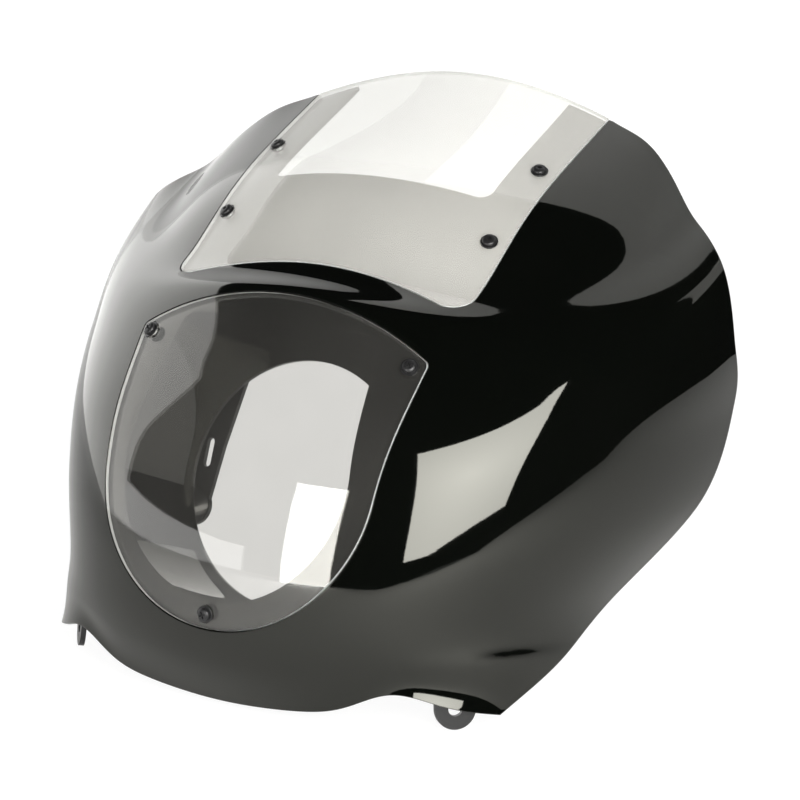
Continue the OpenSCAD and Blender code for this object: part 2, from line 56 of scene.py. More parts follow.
# Camera
# It stands at the rider's left, 32 degrees round from the front and 14 degrees up, with a long lens.
CAMERA_TURN, CAMERA_UP = math.radians(32.099), math.radians(14.274)
scene = bpy.context.scene
camera_data = bpy.data.cameras.new("camera")
camera_data.lens = 121.5
camera_data.sensor_width = 36
camera_data.clip_end = 50
camera = bpy.data.objects.new("camera", camera_data)
camera.location = (1.0801, -1.5770, 0.5494)
camera.rotation_euler = (math.radians(90) - CAMERA_UP, 0, CAMERA_TURN)
scene.collection.objects.link(camera)
scene.camera = camera
scene.render.resolution_x = 800
scene.render.resolution_y = 800
scene.view_settings.view_transform = "Standard"

# Floor and light
# A pale studio table with matt white sheets at its far side and rear, at the right and overhead. One
# soft panel lights the cowl's far flank, one its near flank and one the lens.
FLOOR_Z = cad_bounds[0][2] - 0.002


def new_material(name):
    material = bpy.data.materials.new(name)
    material.use_nodes = True
    tree = material.node_tree
    tree.nodes.clear()
    output = tree.nodes.new("ShaderNodeOutputMaterial")
    return material, tree, output


def node(tree, kind, inputs=None, **settings):
    n = tree.nodes.new("ShaderNode" + kind)
    for key, value in settings.items():
        setattr(n, key, value)
    for key, value in (inputs or {}).items():
        if isinstance(value, bpy.types.NodeSocket):
            tree.links.new(value, n.inputs[key])
        else:
            n.inputs[key].default_value = value
    return n


def mottle(tree, noise, first, second):
    inputs = {0: noise.outputs["Fac"], 6: (*first, 1), 7: (*second, 1)}
    return node(tree, "Mix", inputs, data_type="RGBA").outputs[2]


def studio_white(name, glow_in_room, glow_to_camera):
    material, tree, output = new_material(name)
    speckle = node(tree, "TexNoise", {"Scale": 9.0, "Detail": 3.0})
    tone = mottle(tree, speckle, (0.88, 0.88, 0.88), (0.92, 0.92, 0.92))
    matt = node(tree, "BsdfDiffuse", {"Color": tone})
    faint = node(tree, "BsdfDiffuse", {"Color": (0.13, 0.13, 0.13, 1)})
    path = node(tree, "LightPath")
    to_camera = path.outputs["Is Camera Ray"]
    seen = node(tree, "MixShader", {0: to_camera, 1: matt.outputs[0], 2: faint.outputs[0]})
    strength = node(tree, "MapRange", {0: to_camera, 3: glow_in_room, 4: glow_to_camera})
    lit = node(tree, "Emission", {"Strength": strength.outputs[0]})
    both = node(tree, "AddShader", {0: seen.outputs[0], 1: lit.outputs[0]})
    tree.links.new(both.outputs[0], output.inputs["Surface"])
    return material


def flat(name, corners, material):
    mesh = bpy.data.meshes.new(name)
    mesh.from_pydata(corners, [], [tuple(range(len(corners)))])
    made = bpy.data.objects.new(name, mesh)
    scene.collection.objects.link(made)
    made.data.materials.append(material)


def standing(name, x0, y0, x1, y1, low, high, material):
    flat(name, [(x0, y0, low), (x1, y1, low), (x1, y1, high), (x0, y0, high)], material)


# The table ends at the right and near the camera, where the room is dark. A low card stands at the
# far front, and the sheets at the right and overhead hang high.
FAR, REAR, REAR_END, TALL = -3.0, 2.0, 0.1, 2.5
SIDE_START = -1.25
CARD_X, CARD_Y, CARD_TOP = -1.0, -2.3, 0.25
RIGHT, RIGHT_START, RIGHT_LOW = 1.6, 0.45, 1.1
OVER_START, OVER_EDGE = -0.9, 0.65
TABLE = [(FAR, SIDE_START), (CARD_X, CARD_Y), (0.0, CARD_Y), (0.6, SIDE_START), (1.4, SIDE_START), (1.5, 0.1),
         (0.84, 0.8), (0.74, 1.05), (REAR_END, 1.35), (REAR_END, REAR), (FAR, REAR)]
flat("floor", [(x, y, FLOOR_Z) for x, y in TABLE], studio_white("studio_table", 0.0, 0.92))
rear_white = studio_white("studio_sheet", 0.20, 0.97)
over_white = studio_white("studio_sheet_lit", 0.60, 0.97)
side_white = studio_white("studio_side_sheet", 0.9, 0.97)
card_white = studio_white("studio_card", 1.6, 0.97)
standing("backdrop_rear", FAR, REAR, REAR_END, REAR, FLOOR_Z, TALL, rear_white)
standing("backdrop_far", FAR, SIDE_START, FAR, REAR, FLOOR_Z, TALL, side_white)
standing("backdrop_front", FAR, SIDE_START, CARD_X, CARD_Y, FLOOR_Z, CARD_TOP, card_white)
standing("backdrop_right", RIGHT, REAR, RIGHT, RIGHT_START, RIGHT_LOW, TALL, over_white)
OVER = [(OVER_START, REAR), (RIGHT, REAR), (RIGHT, OVER_EDGE), (OVER_START, OVER_EDGE)]
flat("backdrop_over", [(x, y, TALL) for x, y in OVER], over_white)

world = bpy.data.worlds.new("studio")
scene.world = world
world.use_nodes = True
tree = world.node_tree
tree.nodes.clear()
output = tree.nodes.new("ShaderNodeOutputWorld")
path = node(tree, "LightPath")
seen = node(tree, "Background", {"Color": (1, 1, 1, 1), "Strength": 1.0})
room = node(tree, "Background", {"Color": (1, 1, 1, 1), "Strength": 0.20})
dark = node(tree, "Background", {"Color": (1, 1, 1, 1), "Strength": 0.015})
lit = node(tree, "MixShader", {0: path.outputs["Is Glossy Ray"], 1: room.outputs[0], 2: dark.outputs[0]})
sky = node(tree, "MixShader", {0: path.outputs["Is Camera Ray"], 1: lit.outputs[0], 2: seen.outputs[0]})
tree.links.new(sky.outputs[0], output.inputs["Surface"])

PANEL_WHITE = (1.0, 0.99, 0.955)


def soft_panel(name, place, target, size, watts, spread):
    lamp = bpy.data.lights.new(name, "AREA")
    lamp.shape = "RECTANGLE"
    lamp.size, lamp.size_y = size
    lamp.energy = watts
    lamp.color = PANEL_WHITE
    lamp.spread = math.radians(spread)
    panel = bpy.data.objects.new(name, lamp)
    panel.location = place
    panel.rotation_euler = (Vector(target) - Vector(place)).to_track_quat("-Z", "Y").to_euler()
    scene.collection.objects.link(panel)


soft_panel("panel_far", (-2.9, 0.4, 1.1), (0, 0.4, 1.1), (3.2, 2.7), 17, 180)
soft_panel("panel_near", (1.15, -0.93, 0.55), (0.17, -0.04, 0.04), (1.0, 1.1), 21.5, 120)
soft_panel("panel_front", (-0.05, -1.62, 0.21), (0.08, -0.09, 0.0), (0.5, 0.88), 13, 180)

# Moulded shell
# One gloss black ABS moulding, 3.5 mm thick: the cowl's skin, sunk seats for the two clear panels,
# the lamp bucket with its opening, pads for the screws' nuts and bosses for the brackets.

# The skin follows four rails through ten stations, from the bottom to the top. Each station has, in
# millimetres: the centreline (y, z), the front handle's length, the shoulder and the trailing edge.
STATIONS = [
    ((-98, -138), 76, (160, -98, -115), (195, -34, -131)),
    ((-112, -102), 98, (187, -81, -83), (212, 18, -105)),
    ((-114, -68), 119, (212, -60, -47), (219, 76, -77)),
    ((-107, -14), 134, (237, -37, -10), (256, 154, -11)),
    ((-84, 52), 141, (256, -13, 26), (264, 189, 58)),
    ((-46, 106), 136, (260, 13, 54), (266, 181, 106)),
    ((-11, 144), 124, (246, 40, 85), (260, 172, 159)),
    ((30, 160), 115, (217, 71, 131), (223, 197, 192)),
    ((106, 217), 95, (167, 132, 191), (175, 223, 233)),
    ((236, 277), 49, (94, 236, 265), (134.5, 233, 250)),
]
LAST = len(STATIONS) - 1
CENTRE = np.array([s[0] for s in STATIONS], float) / 1000
HANDLE = np.array([[s[1]] for s in STATIONS], float) / 1000
SHOULDER = np.array([s[2] for s in STATIONS], float) / 1000
EDGE = np.array([s[3] for s in STATIONS], float) / 1000
FLUTE_DEPTH, FLUTE_STATION, FLUTE_CLIMB, FLUTE_HALF, FLUTE_FROM = 0.0032, 6.9, 0.2, 0.35, 0.35
SCALLOP_RISE, SCALLOP_X, SCALLOP_HALF, SCALLOP_END = 0.0144, 0.137, 0.032, 1.6
# Near the skin's borders its direction is no longer sure, so it is taken this far inside them.
SURE_T, SURE_U = 0.05, 0.985


def along(rail, t):
    n = len(rail) - 1
    i = np.clip(np.floor(t).astype(int), 0, n - 1)
    f = (t - i)[..., None]
    b, c = rail[i], rail[i + 1]
    a = np.where((i == 0)[..., None], 2 * b - c, rail[np.maximum(i - 1, 0)])
    d = np.where((i == n - 1)[..., None], 2 * c - b, rail[np.minimum(i + 2, n)])
    return (2 * b + (c - a) * f + (2 * a - 5 * b + 4 * c - d) * f**2 + (3 * b - a - 3 * c + d) * f**3) / 2


def ease(x):
    x = np.clip(x, 0, 1)
    return x * x * (3 - 2 * x)


def rib(t, u):
    centre, handle = along(CENTRE, t), along(HANDLE, t)
    p0 = np.concatenate([np.zeros_like(handle), centre], -1)
    p1 = np.concatenate([handle, centre], -1)
    p2, p3 = along(SHOULDER, t), along(EDGE, t)
    u = u[..., None]
    v = 1 - u
    return v**3 * p0 + 3 * u * v**2 * p1 + 3 * u**2 * v * p2 + u**3 * p3


def unit(v):
    return v / np.linalg.norm(v, axis=-1, keepdims=True)


def skin(t, u):
    side = np.sign(u) + (u == 0)
    u = np.abs(u)
    e = 0.002
    t0, t1 = np.maximum(t - e, 0), np.minimum(t + e, LAST)
    u0, u1 = np.maximum(u - e, 0), np.minimum(u + e, 1)
    across = unit(np.cross(rib(t1, u) - rib(t0, u), rib(t, u1) - rib(t, u0)))
    off_flute = (t - FLUTE_STATION - FLUTE_CLIMB * u) / FLUTE_HALF
    flute = FLUTE_DEPTH * np.exp(-(off_flute**2)) * ease((u - FLUTE_FROM) / (1 - FLUTE_FROM))
    p = rib(t, u) + flute[..., None] * across
    off_scallop = (p[..., 0] - SCALLOP_X) / SCALLOP_HALF
    p[..., 2] += SCALLOP_RISE * np.exp(-(off_scallop**2)) * ease(1 - t / SCALLOP_END)
    p[..., 0] *= side
    return p


def inward(t, u):
    e = 0.01
    t = np.clip(t, SURE_T, LAST - SURE_T)
    u = np.clip(u, -SURE_U, SURE_U)
    return unit(np.cross(skin(t + e, u) - skin(t - e, u), skin(t, u + e) - skin(t, u - e)))


# The lamp's plane leans back like a fork, and the screen's plane slopes up from the brow.
RAKE = math.radians(21.3)
LAMP = Matrix.Rotation(math.pi / 2 - RAKE, 4, "X")
SLOPE = math.radians(28.75)
SCREEN = Matrix.Translation((0, 0.027, 0.137)) @ Matrix.Rotation(SLOPE, 4, "X")


def mesh_object(name, points, faces):
    mesh = bpy.data.meshes.new(name)
    mesh.from_pydata([tuple(p) for p in points], [], faces)
    mesh.update()
    made = bpy.data.objects.new(name, mesh)
    scene.collection.objects.link(made)
    return made


# A closed sheet between two depths under the skin, over part of its stations and its width. Its top
# may run past the last station, up the screen's plane.
def sheet(name, d0, d1, t0, t1, rows, reach, cols, past=0.0):
    ts = np.linspace(t0, t1, rows + 1)
    us = np.linspace(-reach, reach, 2 * cols + 1)
    T, U = np.meshgrid(ts, us, indexing="ij")
    P, N = skin(T, U), inward(T, U)
    layers = []
    for d in (d0, d1):
        L = P + d * N
        if past:
            up = np.array([0, math.cos(SLOPE), math.sin(SLOPE)]) * past
            L = np.concatenate([L, L[-1:] + up])
        layers.append(L.reshape(-1, 3))
    h, w = rows + 1 + (1 if past else 0), 2 * cols + 1
    m = h * w
    faces = []
    for r in range(h - 1):
        for c in range(w - 1):
            a = r * w + c
            faces.append((a, a + 1, a + w + 1, a + w))
            faces.append((m + a, m + a + w, m + a + w + 1, m + a + 1))
    border = [c for c in range(w - 1)] + [r * w + w - 1 for r in range(h - 1)]
    border += [(h - 1) * w + c for c in range(w - 1, 0, -1)] + [r * w for r in range(h - 1, 0, -1)]
    for k, a in enumerate(border):
        b = border[(k + 1) % len(border)]
        faces.append((a, m + a, m + b, b))
    return mesh_object(name, np.concatenate(layers), faces)


# A straight bar of any outline, drawn counter-clockwise, from one height to another.
def prism(name, outline, low, high, place):
    n = len(outline)
    points = [place @ Vector((x, y, z)) for z in (low, high) for x, y in outline]
    faces = [tuple(range(n - 1, -1, -1)), tuple(range(n, 2 * n))]
    faces += [(k, (k + 1) % n, n + (k + 1) % n, n + k) for k in range(n)]
    made = mesh_object(name, points, faces)
    if place.determinant() < 0:
        made.data.flip_normals()
    return made


def turned(name, profile, place, steps=48):
    points, faces = [], []
    n = len(profile)
    for k in range(steps):
        a = 2 * math.pi * k / steps
        points += [(r * math.cos(a), r * math.sin(a), z) for r, z in profile]
    for k in range(steps):
        b = (k + 1) % steps
        for j in range(n):
            i = (j + 1) % n
            if profile[j][0] < 1e-9 and profile[i][0] < 1e-9:
                continue
            faces.append((k * n + j, b * n + j, b * n + i, k * n + i))
    made = mesh_object(name, points, faces)
    edit = bmesh.new()
    edit.from_mesh(made.data)
    bmesh.ops.remove_doubles(edit, verts=edit.verts, dist=1e-7)
    bmesh.ops.recalc_face_normals(edit, faces=edit.faces)
    edit.to_mesh(made.data)
    edit.free()
    made.data.transform(place)
    if place.determinant() < 0:
        made.data.flip_normals()
    return made


def bar(r, z0, z1, place, steps=48):
    return turned("bar", [(0, z0), (r, z0), (r, z1), (0, z1)], place, steps)


def combine(base, tool, operation):
    step = base.modifiers.new(operation, "BOOLEAN")
    step.operation = operation
    step.solver = "MANIFOLD"
    step.object = tool
    graph = bpy.context.evaluated_depsgraph_get()
    result = bpy.data.meshes.new_from_object(base.evaluated_get(graph))
    base.modifiers.clear()
    old = base.data
    base.data = result
    bpy.data.meshes.remove(old)
    bpy.data.objects.remove(tool)
    if len(result.polygons) == 0:
        raise RuntimeError(operation + " left nothing of " + base.name)
    return base


# Outlines of lens, bucket and screen, each grown by g. Arcs are drawn point by point, right side
# first, and mirrored for the left.
LENS_R, LENS_CORNER, LENS_CORNER_R, LENS_TOP = 0.115, (0.117, 0.093), 0.006, 0.131
BUCKET_R, BUCKET_CORNER, BUCKET_CORNER_R, BUCKET_DEEP = 0.0955, (0.074, 0.098), 0.012, 0.0965
SCREEN_CORNER, SCREEN_CORNER_R, SCREEN_FOOT_RISE = (0.110, 0.018), 0.018, 0.014
SCREEN_TOP_HALF, SCREEN_LONG, SCREEN_TOP_RISE, SCREEN_PAST = 0.1315, 0.236, 0.015, 0.275
BEYOND_HALF, BEYOND_LONG = 0.139, 0.30
WINDOW_CORNER, WINDOW_CORNER_R, WINDOW_HALF, WINDOW_LONG = (0.086, 0.117), 0.010, 0.096, 0.343


def arc(centre, r, a0, a1, n=24):
    angles = [a0 + (a1 - a0) * k / n for k in range(n + 1)]
    return [(centre[0] + r * math.cos(a), centre[1] + r * math.sin(a)) for a in angles]


def outward_angle(a, ra, b, rb):
    dx, dy = b[0] - a[0], b[1] - a[1]
    return math.atan2(dy, dx) - math.acos((ra - rb) / math.hypot(dx, dy))


def mirrored(right):
    left = [(-x, y) for x, y in reversed(right)]
    return right + [p for p in left if abs(p[0]) > 1e-7]


def lens_outline(g):
    x, y = LENS_CORNER
    rc = LENS_CORNER_R + g
    reach = LENS_TOP - LENS_CORNER_R
    yc = (reach**2 - y**2 - x**2) / (2 * (reach - y))
    side = outward_angle((0, 0), LENS_R + g, LENS_CORNER, rc)
    top = math.atan2(y - yc, x)
    right = arc((0, 0), LENS_R + g, -math.pi / 2, side, 64) + arc(LENS_CORNER, rc, side, top, 12)
    right += arc((0, yc), LENS_TOP + g - yc, top, math.pi / 2, 40)[1:]
    return mirrored(right)


def bucket_outline(g):
    rc = BUCKET_CORNER_R + g
    side = outward_angle((0, 0), BUCKET_R + g, BUCKET_CORNER, rc)
    right = arc((0, 0), BUCKET_R + g, -math.pi / 2, side, 64) + arc(BUCKET_CORNER, rc, side, math.pi / 2, 16)
    return mirrored(right)


def screen_outline(g, g_top):
    rc = SCREEN_CORNER_R + g
    half_foot = SCREEN_CORNER[0]
    rf = (half_foot**2 + SCREEN_FOOT_RISE**2) / (2 * SCREEN_FOOT_RISE)
    top = (SCREEN_TOP_HALF + g_top, SCREEN_LONG)
    side = outward_angle(SCREEN_CORNER, rc, top, 0)
    half = math.asin(half_foot / rf)
    right = arc((0, SCREEN_FOOT_RISE - rf - g), rf, math.pi / 2, math.pi / 2 - half, 24)
    right += arc(SCREEN_CORNER, rc, -math.pi / 2, side, 20) + [top, (top[0], SCREEN_PAST)]
    return mirrored(right)


def beyond_top(g):
    rt = (SCREEN_TOP_HALF**2 + SCREEN_TOP_RISE**2) / (2 * SCREEN_TOP_RISE)
    half = math.asin(SCREEN_TOP_HALF / rt)
    right = [(0.0, BEYOND_LONG), (BEYOND_HALF, BEYOND_LONG), (BEYOND_HALF, SCREEN_LONG - g)]
    right += arc((0, SCREEN_LONG + SCREEN_TOP_RISE - rt - g), rt, math.pi / 2 - half, math.pi / 2, 40)
    left = [(-x, y) for x, y in reversed(right[1:-1])]
    return list(reversed(right + left))


WINDOW = arc(WINDOW_CORNER, WINDOW_CORNER_R, -math.pi / 2, 0, 12) + [(WINDOW_HALF, WINDOW_LONG)]
WINDOW = WINDOW + [(-x, y) for x, y in reversed(WINDOW)]

# Places of the screws on the skin: lens screws in the lamp's plane, screen bolts in the screen's.
SCREEN_FOOT_HALF, BOLT_INSET = 0.128, 0.013
LOW_BOLT, HIGH_BOLT = 0.068, 0.150
UPPER_LENS_SCREW, BOTTOM_LENS_SCREW = (0.1125, 0.0915), (0.0, -0.105)
LOW_BOSS_SPOT, HIGH_BOSS_SEAT = (1.1, 0.685), (0.094, 0.080, -0.032)
SIDES = {"left": 1, "right": -1}


# Finds the station and the share of the width at x across and h up a plane, from a first guess.
def locate(x, h, plane, t, u):
    up, origin = np.array(plane.col[1][:3]), np.array(plane.col[3][:3])
    e = 0.01
    for _ in range(9):
        T, U = np.array([t, t + e, t]), np.array([u, u, u + e])
        p, pt, pu = skin(T, U)
        pt, pu = pt - p, pu - p
        fx, fh = (x - p[0]) * e, (h - up @ (p - origin)) * e
        det = pt[0] * (up @ pu) - pu[0] * (up @ pt)
        t, u = t + (fx * (up @ pu) - fh * pu[0]) / det, u + (fh * pt[0] - fx * (up @ pt)) / det
    return t, u


def stand_on(t, u, side=1):
    e = 0.002
    T, U = np.array([t]), np.array([u])
    if u < 1e-6:
        U = np.array([0.0])
    n = -unit(np.cross(rib(T + e, U) - rib(T - e, U), rib(T, U + e) - rib(T, np.maximum(U - e, 0))))[0]
    p = skin(T, U)[0]
    turn = Matrix.Rotation(math.atan2(n[1], n[0]), 4, "Z") @ Matrix.Rotation(math.acos(n[2]), 4, "Y")
    flip = Matrix.Scale(side, 4, (1, 0, 0))
    return flip @ Matrix.Translation(Vector(p)) @ turn


def screen_spot(h):
    half = SCREEN_FOOT_HALF + (SCREEN_TOP_HALF - SCREEN_FOOT_HALF) * h / SCREEN_LONG
    return locate(half - BOLT_INSET, h, SCREEN, 7.5, 0.4)


SCREEN_SPOTS = {"low": screen_spot(LOW_BOLT), "high": screen_spot(HIGH_BOLT)}
UPPER_LENS_SPOT = locate(*UPPER_LENS_SCREW, LAMP, 4.0, 0.3)
BOTTOM_LENS_SPOT = locate(*BOTTOM_LENS_SCREW, LAMP, 2.0, 0.0)
SCREEN_PLACES = [stand_on(*spot, side) for spot in SCREEN_SPOTS.values() for side in SIDES.values()]
UPPER_LENS_PLACES = [stand_on(*UPPER_LENS_SPOT, side) for side in SIDES.values()]
BOTTOM_LENS_PLACE = stand_on(*BOTTOM_LENS_SPOT)
LOW_BOSS_PLACES = [stand_on(*LOW_BOSS_SPOT, side) for side in SIDES.values()]
HIGH_BOSS = LAMP @ Matrix.Translation(HIGH_BOSS_SEAT)
HIGH_BOSS_PLACES = [Matrix.Scale(side, 4, (1, 0, 0)) @ HIGH_BOSS for side in SIDES.values()]

WALL, PANEL, GAP_UNDER, GAP_ROUND = 0.0035, 0.003, 0.0003, 0.001
SEAT = PANEL + GAP_UNDER
# How far the seat goes past the screen's top corners, how far the shell's top stays below the
# screen's, and how far what is added or cut goes on into its neighbour.
SEAT_TOP_GROWS, TOP_GAP, BITE = 0.00275, 0.0015, 0.001
OPENING_R = 0.092
LENS_PATCH = {"t0": 1, "t1": 6.5, "reach": 0.44}
SCREEN_PATCH = {"t0": 6, "t1": LAST, "rows": 44, "reach": 1.0, "cols": 56, "past": 0.006}
LAMP_REACH, SCREEN_REACH = (0, 0.2), (-0.06, 0.06)
PAD_R, BLIND_R, BLIND_DEEP = 0.0075, 0.005, 0.0133
BOSS_R, LOW_BOSS_DEEP, LOW_BOSS_TOP, HIGH_BOSS_LONG = 0.009, 0.0115, 0.0015, 0.044
SCREW_HOLE_R, NUT_HOLE_DEEP, BLIND_HOLE_DEEP = 0.0028, 0.0095, 0.0113
BRACKET_HOLE_R, LOW_HOLE, HIGH_HOLE = 0.0033, (-0.0125, -0.0035), (-0.001, 0.008)
OVER_LENS, OVER_SCREEN = 0.04, 0.005

shell = sheet("cowl_moulding", 0, WALL, 0, LAST, 120, 1.0, 56)
lens_seat = sheet("lens_seat", BITE, SEAT + WALL, rows=60, cols=26, **LENS_PATCH)
combine(lens_seat, prism("edge", lens_outline(GAP_ROUND + WALL), *LAMP_REACH, LAMP), "INTERSECT")
screen_seat = sheet("screen_seat", BITE, SEAT + WALL, **SCREEN_PATCH)
seat_edge = screen_outline(GAP_ROUND + WALL, SEAT_TOP_GROWS)
combine(screen_seat, prism("edge", seat_edge, *SCREEN_REACH, SCREEN), "INTERSECT")
combine(shell, lens_seat, "UNION")
combine(shell, screen_seat, "UNION")
combine(shell, prism("bucket", bucket_outline(WALL), -WALL, BUCKET_DEEP, LAMP), "UNION")
for place in SCREEN_PLACES + UPPER_LENS_PLACES:
    combine(shell, bar(PAD_R, -SEAT - WALL - BITE, -SEAT - BITE, place), "UNION")
combine(shell, bar(BLIND_R, -BLIND_DEEP, -SEAT - BITE, BOTTOM_LENS_PLACE), "UNION")
for low_boss, high_boss in zip(LOW_BOSS_PLACES, HIGH_BOSS_PLACES):
    combine(shell, bar(BOSS_R, -LOW_BOSS_DEEP, -LOW_BOSS_TOP, low_boss), "UNION")
    combine(shell, bar(BOSS_R, 0, HIGH_BOSS_LONG, high_boss), "UNION")
lens_cut = sheet("lens_cut", -OVER_LENS, SEAT, rows=60, cols=26, **LENS_PATCH)
combine(lens_cut, prism("edge", lens_outline(GAP_ROUND), *LAMP_REACH, LAMP), "INTERSECT")
screen_cut = sheet("screen_cut", -OVER_SCREEN, SEAT, **SCREEN_PATCH)
cut_edge = screen_outline(GAP_ROUND, GAP_ROUND)
combine(screen_cut, prism("edge", cut_edge, *SCREEN_REACH, SCREEN), "INTERSECT")
combine(shell, lens_cut, "DIFFERENCE")
combine(shell, screen_cut, "DIFFERENCE")
combine(shell, prism("bucket", bucket_outline(0), *LAMP_REACH, LAMP), "DIFFERENCE")
combine(shell, bar(OPENING_R, -2 * WALL, 2 * WALL, LAMP, 128), "DIFFERENCE")
combine(shell, prism("window", WINDOW, *SCREEN_REACH, SCREEN), "DIFFERENCE")
combine(shell, prism("top", beyond_top(TOP_GAP), *SCREEN_REACH, SCREEN), "DIFFERENCE")
for place in SCREEN_PLACES + UPPER_LENS_PLACES:
    combine(shell, bar(SCREW_HOLE_R, -NUT_HOLE_DEEP, BITE, place), "DIFFERENCE")
combine(shell, bar(SCREW_HOLE_R, -BLIND_HOLE_DEEP, BITE, BOTTOM_LENS_PLACE), "DIFFERENCE")
for low_boss, high_boss in zip(LOW_BOSS_PLACES, HIGH_BOSS_PLACES):
    combine(shell, bar(BRACKET_HOLE_R, *LOW_HOLE, low_boss), "DIFFERENCE")
    combine(shell, bar(BRACKET_HOLE_R, *HIGH_HOLE, high_boss), "DIFFERENCE")

# Where a point of the cowl lies on the skin, found from the nearest sample and then refined, so that
# curved faces can shade with the true surface's direction.
SAMPLE_T, SAMPLE_U = np.meshgrid(np.linspace(0, LAST, 145), np.linspace(-1, 1, 129), indexing="ij")
SAMPLES = skin(SAMPLE_T, SAMPLE_U).reshape(-1, 3)
SAMPLE_T, SAMPLE_U = SAMPLE_T.ravel(), SAMPLE_U.ravel()
nearest = kdtree.KDTree(len(SAMPLES))
for k, p in enumerate(SAMPLES):
    nearest.insert(p, k)
nearest.balance()


def on_skin(points):
    found = np.array([nearest.find(p)[1] for p in points])
    t, u = SAMPLE_T[found], SAMPLE_U[found]
    e = 0.002
    for _ in range(3):
        p = skin(t, u)
        a, b = (skin(t + e, u) - skin(t - e, u)) / (2 * e), (skin(t, u + e) - skin(t, u - e)) / (2 * e)
        g = points - p
        aa, bb, ab = (a * a).sum(-1), (b * b).sum(-1), (a * b).sum(-1)
        ga, gb = (g * a).sum(-1), (g * b).sum(-1)
        det = aa * bb - ab * ab
        det = np.where(np.abs(det) < 1e-12, 1e-12, det)
        dt, du = np.nan_to_num((ga * bb - gb * ab) / det), np.nan_to_num((gb * aa - ga * ab) / det)
        t = np.clip(t + np.clip(dt, -0.1, 0.1), 0, LAST)
        u = np.clip(u + np.clip(du, -0.05, 0.05), -1, 1)
    normal = inward(t, u)
    return ((points - skin(t, u)) * normal).sum(-1), normal


# Faces no deeper than this follow the skin where they face along it, and are a cut edge where they
# stand across it.
SHELL_DEEPEST, PANEL_DEEPEST = 0.0072, 0.004
ALONG, ACROSS, SHARP = 0.93, 0.6, math.radians(28)


def shade_with_skin(piece, deepest):
    mesh = piece.data
    mesh.shade_smooth()
    mesh.set_sharp_from_angle(angle=SHARP)
    n = len(mesh.vertices)
    points = np.empty(n * 3)
    mesh.vertices.foreach_get("co", points)
    depth, normal = on_skin(points.reshape(-1, 3))
    custom = np.zeros((len(mesh.loops), 3))
    edge_faces = []
    for face in mesh.polygons:
        ids = list(face.vertices)
        mean = normal[ids].mean(0)
        facing = float(np.dot(mean, face.normal))
        near = np.abs(depth[ids]).max() < deepest
        if near and abs(facing) > ALONG:
            custom[list(face.loop_indices)] = normal[ids] * (1 if facing > 0 else -1)
        elif near and abs(facing) < ACROSS:
            edge_faces.append(face.index)
    mesh.normals_split_custom_set(custom)
    return edge_faces


shade_with_skin(shell, SHELL_DEEPEST)

BLACK, BLACK_PALER = (0.0008, 0.0011, 0.0008), (0.0014, 0.0016, 0.0013)
GLOSS_TINT = (1.0, 1.0, 0.93, 1)
gloss, tree, output = new_material("gloss_black_moulding")
place_on = node(tree, "TexCoord")
ripple = node(tree, "TexNoise", {"Vector": place_on.outputs["Object"], "Scale": 260.0, "Detail": 2.0})
wave = node(tree, "TexNoise", {"Vector": place_on.outputs["Object"], "Scale": 14.0, "Detail": 2.0})
rough = node(tree, "MapRange", {0: wave.outputs["Fac"], 3: 0.015, 4: 0.045})
soften = node(tree, "Bevel", {"Radius": 0.0009}, samples=4)
peel = node(tree, "Bump", {
    "Strength": 0.02,
    "Distance": 0.0002,
    "Height": ripple.outputs["Fac"],
    "Normal": soften.outputs[0],
})
paint = node(tree, "BsdfPrincipled", {
    "Base Color": mottle(tree, wave, BLACK, BLACK_PALER),
    "Roughness": rough.outputs[0],
    "IOR": 1.5,
    "Specular Tint": GLOSS_TINT,
    "Normal": peel.outputs[0],
})
tree.links.new(paint.outputs[0], output.inputs["Surface"])
shell.data.materials.clear()
shell.data.materials.append(gloss)
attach(shell, "root")
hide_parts("cowl_shell")

# Lens
# A bubble of clear polycarbonate, 3 mm thick, formed to the cowl's own curve, sawn to its outline and
# drilled for three screws. Its cut edge is frosted.
def clear_plastic(name, tones, sheen_range):
    material, tree, output = new_material(name)
    place_on = node(tree, "TexCoord")
    cloud = node(tree, "TexNoise", {"Vector": place_on.outputs["Object"], "Scale": 30.0, "Detail": 4.0})
    through = node(tree, "BsdfTransparent", {"Color": mottle(tree, cloud, *tones)})
    shine = node(tree, "BsdfGlossy", {"Color": (1, 1, 1, 1), "Roughness": 0.01})
    edge_on = node(tree, "LayerWeight", {"Blend": 0.5})
    steep = node(tree, "Math", {0: edge_on.outputs["Facing"], 1: 5.0}, operation="POWER")
    amount = node(tree, "MapRange", {0: steep.outputs[0], 3: 0.045, 4: 0.6})
    pane = node(tree, "MixShader", {0: amount.outputs[0], 1: through.outputs[0], 2: shine.outputs[0]})
    # A milky diffuse veil mixed over the pane is painted sheen: it stands in for light reflected off the
    # panel.
    painted_sheen = node(tree, "BsdfDiffuse", {"Color": (0.75, 0.74, 0.705, 1)})
    patchy = node(tree, "TexNoise", {"Vector": place_on.outputs["Object"], "Scale": 11.0, "Detail": 3.0})
    sheen_cover = node(tree, "MapRange", {0: patchy.outputs["Fac"], 3: sheen_range[0], 4: sheen_range[1]})
    with_sheen = node(tree, "MixShader", {0: sheen_cover.outputs[0], 1: pane.outputs[0], 2: painted_sheen.outputs[0]})
    tree.links.new(with_sheen.outputs[0], output.inputs["Surface"])
    return material


SAWN_DARK, SAWN_PALE = (0.72, 0.74, 0.74), (0.90, 0.92, 0.92)
sawn_edge, tree, output = new_material("sawn_edge")
place_on = node(tree, "TexCoord")
saw = node(tree, "TexNoise", {"Vector": place_on.outputs["Object"], "Scale": 900.0, "Detail": 3.0})
frost = node(tree, "BsdfPrincipled", {
    "Base Color": mottle(tree, saw, SAWN_DARK, SAWN_PALE),
    "Roughness": 0.35,
    "Transmission Weight": 0.35,
})
tree.links.new(frost.outputs[0], output.inputs["Surface"])


